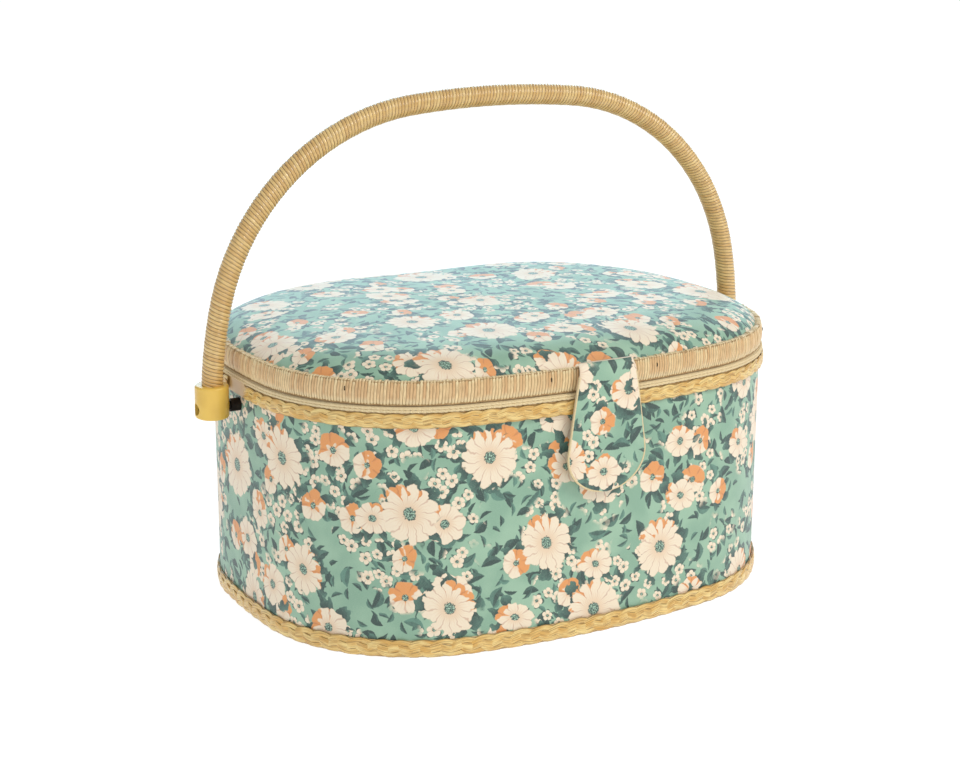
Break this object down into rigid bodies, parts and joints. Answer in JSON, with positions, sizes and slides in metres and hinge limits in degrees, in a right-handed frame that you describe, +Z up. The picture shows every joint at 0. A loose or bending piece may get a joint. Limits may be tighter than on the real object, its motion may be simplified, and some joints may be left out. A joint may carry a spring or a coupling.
{
  "type": "sewing box with trays",
  "caption": "Oval fabric-covered sewing box with a padded hinged lid, closing tab, braided trim, swinging wound bail handle and stacked lift-out trays.",
  "frame": {"origin": "centre of the underside, on the floor", "axes": "+X along the oval to the right, -Y towards the front with the closing tab, +Z up"},
  "size_m": [0.3834, 0.2732, 0.3026],
  "materials": {
    "floral_fabric": "woven cotton, floral print",
    "lining_fabric": "plain weave",
    "fibreboard": "raw board",
    "straw_braid": "plaited straw",
    "tan_strand": "soft sheen wound strand",
    "cream_cord": "twisted cord",
    "gold_strand": "glossy wound strand",
    "core_plastic": "matt",
    "mustard_plastic": "satin",
    "tray_plastic": "satin moulded",
    "bright_steel": "plated",
    "dark_steel": "blackened",
    "hinge_brass": "satin",
    "foam": "soft foam"
  },
  "bodies": {
    "basket": {"underside_cover": "lining_fabric", "base_board": "fibreboard", "floor_pad": "lining_fabric", "wall_fabric": "floral_fabric", "wall_board": "fibreboard", "wall_lining": "lining_fabric", "liner_board": "fibreboard", "rim_band": "cream_cord", "rim_cord": "cream_cord", "lower_braid": "straw_braid", "upper_braid": "straw_braid", "pivot_bolts": "dark_steel", "pivot_spacers": "dark_steel", "pivot_washers": "bright_steel", "pivot_nuts": "bright_steel", "hinge_base_leaves": "hinge_brass", "hinge_pins": "bright_steel", "hinge_base_screws": "hinge_brass", "clasp_base_disc": "bright_steel"},
    "lid": {"lid_rim_core": "fibreboard", "lid_rim_wrap": "tan_strand", "lid_board": "fibreboard", "lid_lining": "lining_fabric", "lid_pad": "foam", "lid_cover": "floral_fabric", "hinge_lid_leaves": "hinge_brass", "hinge_lid_screws": "hinge_brass"},
    "tab": {"tab_fabric": "floral_fabric", "tab_stiffener": "fibreboard", "clasp_tab_disc": "bright_steel"},
    "handle": {"handle_core": "core_plastic", "handle_wrap": "gold_strand", "handle_caps": "mustard_plastic"},
    "upper_tray": {"upper_tray": "tray_plastic"},
    "lower_tray": {"lower_tray": "tray_plastic"}
  },
  "joints": [
    {"name": "lid_hinge", "type": "hinge", "parent": "basket", "child": "lid", "pos_m": [0, 0.1353, 0.145], "axis": [-1, 0, 0], "range_deg": [0, 38]},
    {"name": "tab_flap", "type": "hinge", "parent": "lid", "child": "tab", "pos_m": [0, -0.1345, 0.1602], "axis": [-1, 0, 0], "range_deg": [0, 75]},
    {"name": "handle_pivot", "type": "hinge", "parent": "basket", "child": "handle", "pos_m": [0, 0, 0.127], "axis": [-1, 0, 0], "range_deg": [0, 114]},
    {"name": "upper_tray_lift", "type": "hinge", "parent": "basket", "child": "upper_tray", "pos_m": [0, 0.1208, 0.1394], "axis": [-1, 0, 0], "range_deg": [0, 33]},
    {"name": "lower_tray_lift", "type": "hinge", "parent": "basket", "child": "lower_tray", "pos_m": [0, 0.1208, 0.1182], "axis": [-1, 0, 0], "range_deg": [0, 18]}
  ],
  "couplings": [
    {"joint": "handle_pivot", "follows": "lid_hinge", "ratio": 3},
    {"joint": "upper_tray_lift", "follows": "lid_hinge", "ratio": 0.85},
    {"joint": "lower_tray_lift", "follows": "lid_hinge", "ratio": 0.45}
  ]
}
